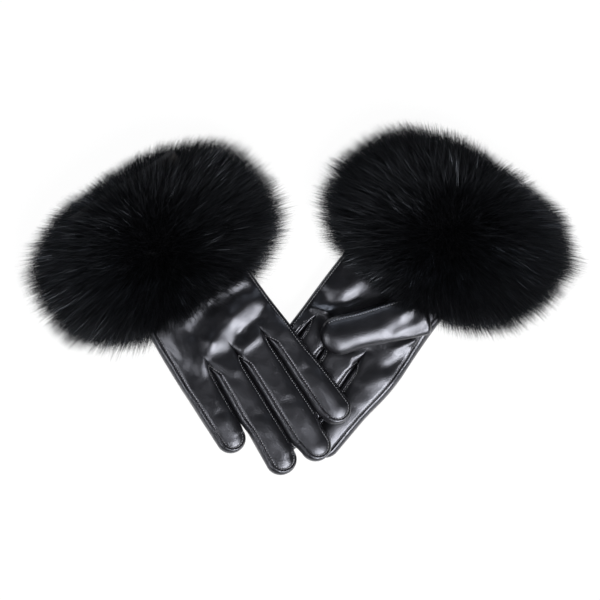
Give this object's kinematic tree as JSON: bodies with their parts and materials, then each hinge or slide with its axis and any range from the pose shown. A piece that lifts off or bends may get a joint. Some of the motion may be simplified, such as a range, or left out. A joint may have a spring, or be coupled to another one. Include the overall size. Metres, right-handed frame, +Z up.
{
  "type": "pair of fur-cuffed leather gloves",
  "caption": "Pair of smooth leather gloves with deep fur cuffs, laid flat, one glove's fingers crossed over the other's palm-up fingers.",
  "frame": {"origin": "middle of the pair's bounding box at the level that the cuffs rest on", "axes": "+X from the right glove's cuff to the left glove's cuff, +Y towards the cuffs, +Z up"},
  "size_m": [0.3711, 0.2474, 0.062],
  "materials": {
    "panel_leather": "smooth black nappa, semi-gloss with a soft bluish sheen",
    "side_leather": "smooth black nappa, semi-gloss",
    "lining_cloth": "matt knitted lining",
    "pelt": "matt suede side of the pelt",
    "binding": "matt woven tape",
    "fur": "long dense black hair with a faint bluish glint"
  },
  "bodies": {
    "left_glove": {"left_back_panel": "panel_leather", "left_cuff_binding": "binding", "left_fourchette_index_middle": "side_leather", "left_fourchette_middle_ring": "side_leather", "left_fourchette_ring_pinky": "side_leather", "left_fur_cuff": "fur", "left_index_side_strip": "side_leather", "left_lining": "lining_cloth", "left_palm_panel": "panel_leather", "left_pelt_band": "pelt", "left_pinky_side_strip": "side_leather"},
    "left_thumb": {"left_thumb_back": "panel_leather", "left_thumb_front": "panel_leather", "left_thumb_lining": "lining_cloth", "left_thumb_side_strip": "side_leather"},
    "right_glove": {"right_back_panel": "panel_leather", "right_cuff_binding": "binding", "right_fourchette_index_middle": "side_leather", "right_fourchette_middle_ring": "side_leather", "right_fourchette_ring_pinky": "side_leather", "right_fur_cuff": "fur", "right_index_side_strip": "side_leather", "right_lining": "lining_cloth", "right_palm_panel": "panel_leather", "right_pelt_band": "pelt", "right_pinky_side_strip": "side_leather"},
    "right_thumb": {"right_thumb_back": "panel_leather", "right_thumb_front": "panel_leather", "right_thumb_lining": "lining_cloth", "right_thumb_side_strip": "side_leather"}
  },
  "joints": [
    {"name": "right_glove_lift", "type": "slide", "parent": "left_glove", "child": "right_glove", "axis": [0, 0, 1], "range_m": [0, 0.15]},
    {"name": "left_thumb_hinge", "type": "hinge", "parent": "left_glove", "child": "left_thumb", "pos_m": [0.08538, -0.00998, 0.0243], "axis": [-0.2554, 0.9668, 0], "range_deg": [0, 65]},
    {"name": "right_thumb_hinge", "type": "hinge", "parent": "right_glove", "child": "right_thumb", "pos_m": [-0.04801, 0.01183, 0.01], "axis": [0.9942, -0.108, 0], "range_deg": [0, 65]}
  ]
}
